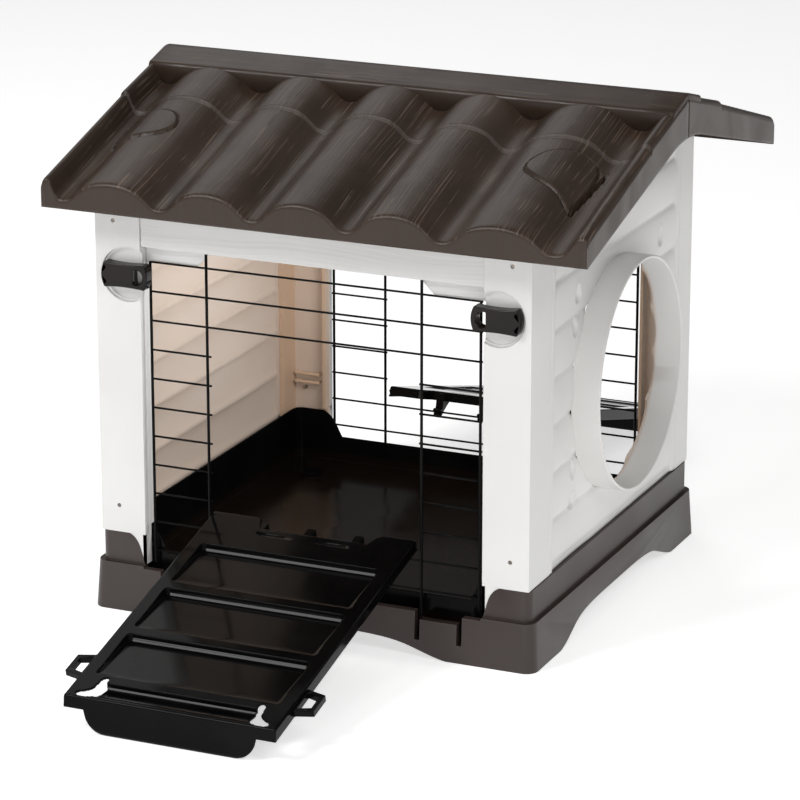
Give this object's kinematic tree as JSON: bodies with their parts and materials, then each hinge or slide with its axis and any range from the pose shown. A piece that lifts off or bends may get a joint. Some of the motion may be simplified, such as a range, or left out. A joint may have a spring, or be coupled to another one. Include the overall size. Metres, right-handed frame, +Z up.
{
  "type": "plastic chicken coop",
  "caption": "Moulded plastic chicken coop with tiled gable roof, round side entrance, wire mesh ends, hinged ramps, corner posts and a drop-in litter tray.",
  "frame": {"origin": "on the ground, below the middle of the whole outline with both ramps down", "axes": "+X to the right seen from the front, +Y from the front ramp to the rear ramp, +Z up; the front faces -Y"},
  "size_m": [0.73, 1.3644, 0.6813],
  "materials": {
    "roof_brown": "satin",
    "base_brown": "satin",
    "shell_white": "satin",
    "tray_black": "gloss",
    "ramp_black": "gloss",
    "wire_black": "satin",
    "button_black": "gloss",
    "steel": "satin"
  },
  "bodies": {
    "house": {"base_skirt": "base_brown", "litter_tray": "tray_black", "post_front_left": "shell_white", "post_front_right": "shell_white", "post_rear_left": "shell_white", "post_rear_right": "shell_white", "header_front": "shell_white", "header_rear": "shell_white", "wall_left": "shell_white", "wall_right": "shell_white", "roof_hinge_pins": "steel", "mesh_front": "wire_black", "mesh_rear": "wire_black", "button_pivots": "steel", "post_screws": "steel"},
    "roof": {"roof_shell": "roof_brown"},
    "front_ramp": {"ramp_front": "ramp_black", "ramp_ears_front": "ramp_black"},
    "rear_ramp": {"ramp_rear": "ramp_black", "ramp_ears_rear": "ramp_black"},
    "plug": {"drain_plug": "tray_black"},
    "front_left_button": {"button_front_left": "button_black"},
    "front_right_button": {"button_front_right": "button_black"},
    "rear_left_button": {"button_rear_left": "button_black"},
    "rear_right_button": {"button_rear_right": "button_black"}
  },
  "joints": [
    {"name": "roof_hinge", "type": "hinge", "parent": "house", "child": "roof", "pos_m": [0, 0.2945, 0.548], "axis": [-1, 0, 0], "range_deg": [0, 70]},
    {"name": "front_ramp_hinge", "type": "hinge", "parent": "house", "child": "front_ramp", "pos_m": [-0.024, -0.2715, 0.1198], "axis": [-1, 0, 0], "range_deg": [0, 94]},
    {"name": "rear_ramp_hinge", "type": "hinge", "parent": "house", "child": "rear_ramp", "pos_m": [-0.024, 0.2735, 0.1298], "axis": [1, 0, 0], "range_deg": [0, 89]},
    {"name": "plug_pull", "type": "slide", "parent": "house", "child": "plug", "axis": [0, 0, 1], "range_m": [0, 0.03]},
    {"name": "front_left_button_turn", "type": "hinge", "parent": "house", "child": "front_left_button", "pos_m": [-0.2765, -0.286, 0.4496], "axis": [0, -1, 0], "range_deg": [0, 90]},
    {"name": "front_right_button_turn", "type": "hinge", "parent": "house", "child": "front_right_button", "pos_m": [0.2285, -0.286, 0.4496], "axis": [0, 1, 0], "range_deg": [0, 90]},
    {"name": "rear_left_button_turn", "type": "hinge", "parent": "house", "child": "rear_left_button", "pos_m": [-0.2765, 0.288, 0.4496], "axis": [0, -1, 0], "range_deg": [0, 90]},
    {"name": "rear_right_button_turn", "type": "hinge", "parent": "house", "child": "rear_right_button", "pos_m": [0.2285, 0.288, 0.4496], "axis": [0, 1, 0], "range_deg": [0, 90]}
  ]
}
